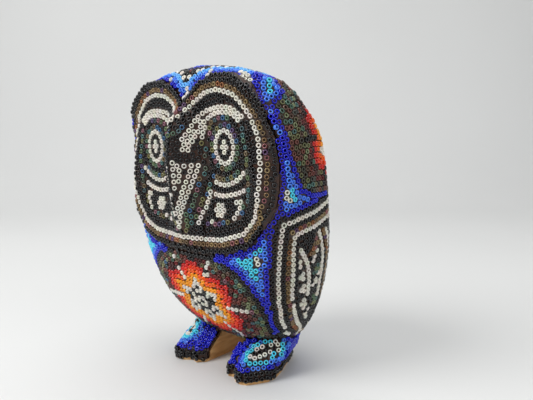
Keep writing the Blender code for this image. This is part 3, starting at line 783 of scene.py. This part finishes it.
def star_colour(distance, from_tip):
    """The flower's middle and the six diamonds round it, or None outside them."""
    if distance < HEART_WHITE:
        return "white" if distance > HEART_BLACK else "black"
    if distance < HEART_END:
        return "black"
    beside = from_tip * distance
    off_middle = abs(distance - STAR_MIDDLE)
    if distance < STAR_END and beside < STAR_NARROW + STAR_SWELL * (1.0 - off_middle / STAR_LENGTH):
        return "black" if off_middle < STAR_INSIDE and beside < STAR_INSIDE else "white"
    if distance < STAR_GROUND - 2.0 * from_tip:
        return "black"
    return None


def petal_colour(distance, angle, ray, ground, edge):
    """The flower: a star of diamonds, petals from yellow to red, and six rays."""
    sector = math.tau / 6
    from_ray = abs((angle + sector / 2) % sector - sector / 2)
    star = star_colour(distance, sector / 2 - from_ray)
    if star:
        return star
    if RAY[0] < distance < RAY[1] and from_ray * distance < RAY_HALF:
        return ray
    petal = edge - PETAL_DEPTH * math.cos(6.0 * angle)
    for reach, name in PETAL_BANDS:
        if distance < petal + reach:
            return name
    if distance < petal + LACE_END:
        return "black" if math.cos(12.0 * angle) > 0.5 else "garnet"
    if distance < petal + GARNET_END and rng.random() < GARNET_SHARE:
        return "garnet"
    return ground


# The crown's groups of white and garnet repeat round it every CROWN_BEAT beads.
CROWN_RADIUS = 40.0
CROWN_MIDDLE = 4.0
CROWN_BEAT = 9.0
EDGE_WHITES = 1.9
DASH_BEAT = 3.0
DASH = 1.8
GARNET_BEAT = 4.0
GARNET_DASH = 0.8
EDGE_ROWS = (0, 1)
DASHED_ROWS = (3, 9)
GARNET_ROW = 5


def crown_colour(spot, off):
    """The crown's bands, with groups of white let into the blue ones."""
    row = max(0, int(round((off - FIRST) / ROW)))
    row = min(row, len(CROWN_ROWS) - 1)
    turn = math.atan2(spot.x, -spot.y - CROWN_MIDDLE)
    beat = (turn * CROWN_RADIUS / PITCH) % CROWN_BEAT
    if row in EDGE_ROWS and beat < EDGE_WHITES:
        return "white"
    if row in DASHED_ROWS:
        return "white" if beat % DASH_BEAT < DASH else "black"
    if row == GARNET_ROW and beat % GARNET_BEAT < GARNET_DASH:
        return "garnet"
    return CROWN_ROWS[row]


def chosen_colour(number):
    """The string a bead comes from, by the panel that it lies on."""
    spot, owner = beads.spots[number], beads.owners[number]
    side = "left" if spot.x > 0 else "right"
    if owner == "chest_border_beads":
        return "black" if chest_edge(spot)[0] < level(0.5) else "dusk"
    if owner in FACE or owner.endswith("border_beads") or "wing" in owner:
        return "black"
    if owner == "chest_flower_beads":
        distance, angle = flower_place(spot, heart, heart_facing, ACROSS)
        distance /= 1.0 + CHEST_WIDENING * math.cos(angle) ** 2
        ground = "dusk" if rng.random() < DUSK_SHARE else "rainbow"
        return petal_colour(distance, angle, "white", ground, CHEST_EDGE)
    if owner.endswith("back_flower_beads"):
        place, facing, ahead = back_hearts[side]
        distance, angle = flower_place(spot, place, facing, ahead)
        return petal_colour(distance, angle, "black", "dusk", BACK_EDGE)
    if owner == "face_outline_beads":
        return "white"
    if owner.endswith("side_beads"):
        off = side_fences[side](spot)[0]
        return SIDE_ROWS[min(len(SIDE_ROWS) - 1, max(0, round((off - FIRST) / ROW + 0.1)))]
    if owner in band_fences:
        return crown_colour(spot, band_fences[owner](spot)[0])
    ends = foot_axes[side]
    if ground_fence(spot)[0] < level(1.45):
        return "black"
    run = ends[1] - ends[0]
    part = min(max((spot - ends[0]).dot(run) / run.length_squared, 0.0), 1.0)
    off = (spot - ends[0].lerp(ends[1], part)).length
    return FOOT_ROWS[min(len(FOOT_ROWS) - 1, round(off / ROW))]


for _ in range(FILLING):
    beads.relax(RELAXING)
    for node in BEAD_NODES:
        if node != "face_outline_beads":
            fill((node,), LEAST_APART if "foot" in node else CROWDED)
beads.relax(RELAXING)

side_fences = {side: others(f"{side}_side_beads").away for side, _ in SIDES}
band_fences = {name: others(name).away for name in ("crown_beads", "spine_beads", "tail_beads")}
for number, name in enumerate(beads.names):
    if name is None:
        beads.names[number] = chosen_colour(number)


# The glass itself. PLUMP squares off a bead's section a little, and MAP_FILL is how much of its
# cell on the map for finishes each bead takes.
PLUMP = 0.8
MAP_FILL = 0.86


def rounded(value, power):
    return math.copysign(abs(value) ** power, value)


def bead_shape():
    """One bead round the Z axis: its points, its faces and where each face corner lies on its map."""
    middle = (BEAD_RADIUS + HOLE_RADIUS) / 2.0
    half = (BEAD_RADIUS - HOLE_RADIUS) / 2.0
    points, faces, corners = [], [], []
    for step in range(SEGMENTS):
        angle = math.tau * step / SEGMENTS
        for turn in range(PROFILE):
            slope = math.tau * turn / PROFILE
            radius = middle + half * rounded(math.cos(slope), PLUMP)
            height = BEAD_LENGTH / 2.0 * rounded(math.sin(slope), PLUMP)
            points.append((radius * math.cos(angle), radius * math.sin(angle), height))
    for step in range(SEGMENTS):
        for turn in range(PROFILE):
            following, above = (step + 1) % SEGMENTS, (turn + 1) % PROFILE
            faces.append((step * PROFILE + turn, following * PROFILE + turn,
                          following * PROFILE + above, step * PROFILE + above))
            for one, two in ((0, 0), (1, 0), (1, 1), (0, 1)):
                corners.append(((step + one) / SEGMENTS, (turn + two) / PROFILE))
    return np.array(points), np.array(faces), np.array(corners)


BEAD_POINTS, BEAD_FACES, BEAD_CORNERS = bead_shape()


def bead_piece(node, material):
    """One mesh of all the beads on a panel, each with its own place on the map for finishes."""
    chosen = [number for number, owner in enumerate(beads.owners) if owner == node]
    across = max(1, math.ceil(math.sqrt(len(chosen))))
    points, colours, shines, corners = [], [], [], []
    for place, number in enumerate(chosen):
        facing = beads.facings[number]
        tilted = (facing + Vector([rng.gauss(0.0, TILT_SPREAD) for _ in range(3)])).normalized()
        spin = Matrix.Rotation(rng.uniform(0.0, math.tau), 3, "Z")
        turned = tilted.to_track_quat("Z", "Y").to_matrix() @ spin
        size = 1.0 + max(-2.0, min(2.0, rng.gauss(0.0, 1.0))) * SIZE_SPREAD
        centre = beads.spots[number] - facing * (BEAD_LENGTH / 2.0 + SUNK)
        shape = BEAD_POINTS * np.array((size, size, 1.0))
        points.append(shape @ np.array(turned).T + np.array(centre))
        colour, shine = tone(beads.names[number])
        colours.append(np.tile((*colour, 1.0), (len(shape), 1)))
        shines.append(np.full(len(shape), shine))
        cell = np.array((place % across, place // across), float)
        corners.append((BEAD_CORNERS * MAP_FILL + (1.0 - MAP_FILL) / 2.0 + cell) / across)
    points = np.concatenate(points) * MM
    faces = np.concatenate([BEAD_FACES + place * len(BEAD_POINTS) for place in range(len(chosen))])
    mesh = bpy.data.meshes.new(node)
    mesh.vertices.add(len(points))
    mesh.vertices.foreach_set("co", points.ravel())
    mesh.loops.add(faces.size)
    mesh.loops.foreach_set("vertex_index", faces.ravel().astype(np.int32))
    mesh.polygons.add(len(faces))
    mesh.polygons.foreach_set("loop_start", np.arange(0, faces.size, 4, dtype=np.int32))
    mesh.polygons.foreach_set("use_smooth", np.ones(len(faces), bool))
    mesh.update(calc_edges=True)
    mesh.attributes.new("glass", "FLOAT_COLOR", "POINT").data.foreach_set(
        "color", np.concatenate(colours).astype(np.float32).ravel())
    mesh.attributes.new("lustre", "FLOAT", "POINT").data.foreach_set(
        "value", np.concatenate(shines).astype(np.float32))
    mesh.uv_layers.new(name="OFBake").data.foreach_set(
        "uv", np.concatenate(corners).astype(np.float32).ravel())
    mesh.materials.append(material)
    piece = bpy.data.objects.new(node.replace("_beads", "_glass_beads"), mesh)
    bpy.context.scene.collection.objects.link(piece)
    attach(piece, "root")
    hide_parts(node)
    return piece


# Materials.
def new_material(name):
    """A node material with its tree and its Principled shader."""
    material = bpy.data.materials.new(name)
    material.use_nodes = True
    tree = material.node_tree
    shader = next(node for node in tree.nodes if node.type == "BSDF_PRINCIPLED")
    return material, tree, shader


def noise(tree, scale, detail=2.0, stretch=(1.0, 1.0, 1.0)):
    """Noise over the object's own coordinates, with a scale in bumps to the metre."""
    place = tree.nodes.new("ShaderNodeTexCoord")
    scaled = tree.nodes.new("ShaderNodeMapping")
    scaled.inputs["Scale"].default_value = stretch
    texture = tree.nodes.new("ShaderNodeTexNoise")
    texture.inputs["Scale"].default_value = scale
    texture.inputs["Detail"].default_value = detail
    tree.links.new(place.outputs["Object"], scaled.inputs["Vector"])
    tree.links.new(scaled.outputs["Vector"], texture.inputs["Vector"])
    return texture.outputs["Fac"]


def ranged(tree, value, low, high):
    """The middle of a noise's range, spread from low to high."""
    spread = tree.nodes.new("ShaderNodeMapRange")
    spread.inputs["From Min"].default_value = 0.3
    spread.inputs["From Max"].default_value = 0.7
    spread.inputs["To Min"].default_value = low
    spread.inputs["To Max"].default_value = high
    tree.links.new(value, spread.inputs["Value"])
    return spread.outputs["Result"]


def bumped(tree, shader, value, strength, distance):
    """Gives a shader a bump from a value."""
    bump = tree.nodes.new("ShaderNodeBump")
    bump.inputs["Strength"].default_value = strength
    bump.inputs["Distance"].default_value = distance
    tree.links.new(value, bump.inputs["Height"])
    tree.links.new(bump.outputs["Normal"], shader.inputs["Normal"])


def glass_material():
    """Glossy seed bead glass: each bead has its own colour, with faint streaks and uneven polish."""
    material, tree, shader = new_material("seed_bead_glass")
    colour = tree.nodes.new("ShaderNodeAttribute")
    colour.attribute_name = "glass"
    lustre = tree.nodes.new("ShaderNodeAttribute")
    lustre.attribute_name = "lustre"
    shade = tree.nodes.new("ShaderNodeHueSaturation")
    tree.links.new(colour.outputs["Color"], shade.inputs["Color"])
    tree.links.new(ranged(tree, noise(tree, 1400.0), 0.86, 1.12), shade.inputs["Value"])
    tree.links.new(shade.outputs["Color"], shader.inputs["Base Color"])
    tree.links.new(lustre.outputs["Fac"], shader.inputs["Metallic"])
    tree.links.new(ranged(tree, noise(tree, 900.0), 0.12, 0.3), shader.inputs["Roughness"])
    shader.inputs["IOR"].default_value = 1.52
    shader.inputs["Coat Weight"].default_value = 0.2
    shader.inputs["Coat Roughness"].default_value = 0.08
    bumped(tree, shader, noise(tree, 1700.0), 0.12, 0.0001)
    return material


def ramp(tree, value, stops):
    """A colour that runs through some stops with a value."""
    steps = tree.nodes.new("ShaderNodeValToRGB")
    steps.color_ramp.elements[0].position = stops[0][0]
    steps.color_ramp.elements[0].color = (*stops[0][1], 1.0)
    steps.color_ramp.elements[1].position = stops[-1][0]
    steps.color_ramp.elements[1].color = (*stops[-1][1], 1.0)
    for place, colour in stops[1:-1]:
        steps.color_ramp.elements.new(place).color = (*colour, 1.0)
    tree.links.new(value, steps.inputs["Fac"])
    return steps.outputs["Color"]


def wax_material():
    """Brown beeswax: dark patches, uneven shine and a kneaded surface."""
    material, tree, shader = new_material("brown_beeswax")
    patches = noise(tree, 260.0, 4.0)
    browns = ((0.3, srgb(34, 18, 10)), (0.55, srgb(56, 30, 16)), (0.75, srgb(84, 46, 22)))
    tree.links.new(ramp(tree, patches, browns), shader.inputs["Base Color"])
    tree.links.new(ranged(tree, noise(tree, 800.0), 0.35, 0.6), shader.inputs["Roughness"])
    bumped(tree, shader, noise(tree, 1200.0, 3.0), 0.4, 0.0003)
    return material


def wood_material():
    """Light wood with a grain that runs front to back."""
    material, tree, shader = new_material("carved_light_wood")
    grain = noise(tree, 90.0, 6.0, (6.0, 1.0, 6.0))
    tans = ((0.25, srgb(168, 118, 66)), (0.5, srgb(208, 160, 100)), (0.75, srgb(230, 190, 132)))
    tree.links.new(ramp(tree, grain, tans), shader.inputs["Base Color"])
    tree.links.new(ranged(tree, noise(tree, 500.0, 4.0), 0.5, 0.75), shader.inputs["Roughness"])
    bumped(tree, shader, noise(tree, 300.0, 6.0, (5.0, 1.0, 5.0)), 0.35, 0.0004)
    return material


def stage_material(name, colour):
    """A pale matt backdrop, very slightly uneven."""
    material, tree, shader = new_material(name)
    darker = tuple(value * 0.97 for value in colour)
    tree.links.new(ramp(tree, noise(tree, 3.0, 3.0), ((0.3, darker), (0.7, colour))),
                   shader.inputs["Base Color"])
    shader.inputs["Roughness"].default_value = 0.6
    return material


WAX_REACH = 0.9
WAX_RISE = 0.75


def wax_bed(node, material):
    """The wax that the beads are pressed into: its outer face stands up between them."""
    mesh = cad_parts[node].data.copy()
    for corner in mesh.vertices:
        if beadwork.away(corner.co / MM)[0] < WAX_REACH:
            corner.co = corner.co + corner.normal * WAX_RISE * MM
    mesh.name = node + "_bed"
    mesh.materials.clear()
    mesh.materials.append(material)
    piece = bpy.data.objects.new(node + "_bed", mesh)
    bpy.context.scene.collection.objects.link(piece)
    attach(piece, "root")
    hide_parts(node)
    return piece


glass = glass_material()
for node in BEAD_NODES:
    piece = bead_piece(node, glass)
wax = wax_material()
for node in ("wax_coat", "left_foot_wax", "right_foot_wax"):
    wax_bed(node, wax)
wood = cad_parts["wood_carving"]
wood.data.materials.clear()
wood.data.materials.append(wood_material())

# The stage: a pale floor that sweeps up into a pale backdrop. From here lengths are in metres.
VIEW_AZIMUTH = math.radians(44.21)
VIEW_ELEVATION = math.radians(6.06)
VIEW_ROLL = math.radians(-0.16)
CAMERA_PLACE = (0.18607, -0.17030, 0.09949)
CAMERA_LENS = 39.03
CAMERA_SENSOR = 36.0
SWEEP_FRONT = 1.2
SWEEP_BACK = 0.5
SWEEP_CURVE = 0.35
SWEEP_STEPS = 12
SWEEP_TOP = 1.8
SWEEP_HALF = 1.6
LIGHTS_AIM = Vector((0.0, 0.0, 0.06))
# Each light's name, place, size and power.
LIGHTS = (("key", (-0.25, -0.75, 0.75), 0.6, 7.4), ("fill", (0.9, -0.1, 0.5), 0.7, 1.8),
          ("top", (0.0, 0.1, 1.0), 0.8, 3.8))
ROOM_COLOUR = (0.93, 0.96, 1.0, 1.0)
ROOM_STRENGTH = 0.38
flat = math.cos(VIEW_ELEVATION)
back = Vector((math.sin(VIEW_AZIMUTH) * flat, -math.cos(VIEW_AZIMUTH) * flat, math.sin(VIEW_ELEVATION)))


def sweep(name, colour):
    """A floor and backdrop in one curved sheet, facing the camera."""
    flat_back = Vector((back.x, back.y, 0.0)).normalized()
    across = Vector((-flat_back.y, flat_back.x, 0.0))
    profile = [(SWEEP_FRONT, 0.0)]
    for step in range(SWEEP_STEPS + 1):
        angle = math.pi / 2 * step / SWEEP_STEPS
        depth = -SWEEP_BACK - SWEEP_CURVE * math.sin(angle)
        profile.append((depth, SWEEP_CURVE - SWEEP_CURVE * math.cos(angle)))
    profile.append((-SWEEP_BACK - SWEEP_CURVE, SWEEP_TOP))
    points, faces = [], []
    for depth, height in profile:
        for way in (-SWEEP_HALF, SWEEP_HALF):
            points.append(flat_back * depth + across * way + Vector((0.0, 0.0, height)))
    for step in range(len(profile) - 1):
        first = step * 2
        faces.append((first, first + 1, first + 3, first + 2))
    mesh = bpy.data.meshes.new(name)
    mesh.from_pydata(points, [], faces)
    for face in mesh.polygons:
        face.use_smooth = True
    mesh.materials.append(stage_material(name, colour))
    piece = bpy.data.objects.new(name, mesh)
    bpy.context.scene.collection.objects.link(piece)


def area_light(name, place, size, power):
    """A round soft light that faces the owl."""
    light = bpy.data.lights.new(name, "AREA")
    light.shape = "DISK"
    light.size = size
    light.energy = power
    lamp = bpy.data.objects.new(name, light)
    lamp.location = place
    lamp.rotation_euler = (Vector(place) - LIGHTS_AIM).to_track_quat("Z", "Y").to_euler()
    bpy.context.scene.collection.objects.link(lamp)


def room_light():
    """Faint light from all round."""
    world = bpy.data.worlds.new("soft_room")
    world.use_nodes = True
    background = world.node_tree.nodes["Background"]
    background.inputs["Color"].default_value = ROOM_COLOUR
    background.inputs["Strength"].default_value = ROOM_STRENGTH
    bpy.context.scene.world = world
    bpy.context.scene.view_settings.view_transform = "Standard"


def aim_camera():
    """The camera, at the angle that the owl was photographed from."""
    camera_data = bpy.data.cameras.new("photo_view")
    camera_data.lens = CAMERA_LENS
    camera_data.sensor_width = CAMERA_SENSOR
    camera = bpy.data.objects.new("photo_view", camera_data)
    camera.location = CAMERA_PLACE
    turn = back.to_track_quat("Z", "Y").to_matrix() @ Matrix.Rotation(VIEW_ROLL, 3, "Z")
    camera.rotation_euler = turn.to_euler()
    bpy.context.scene.collection.objects.link(camera)
    bpy.context.scene.camera = camera


sweep("studio_sweep", srgb(226, 226, 224))
for lamp in LIGHTS:
    area_light(*lamp)
room_light()
aim_camera()

print("beads", len(beads.spots))
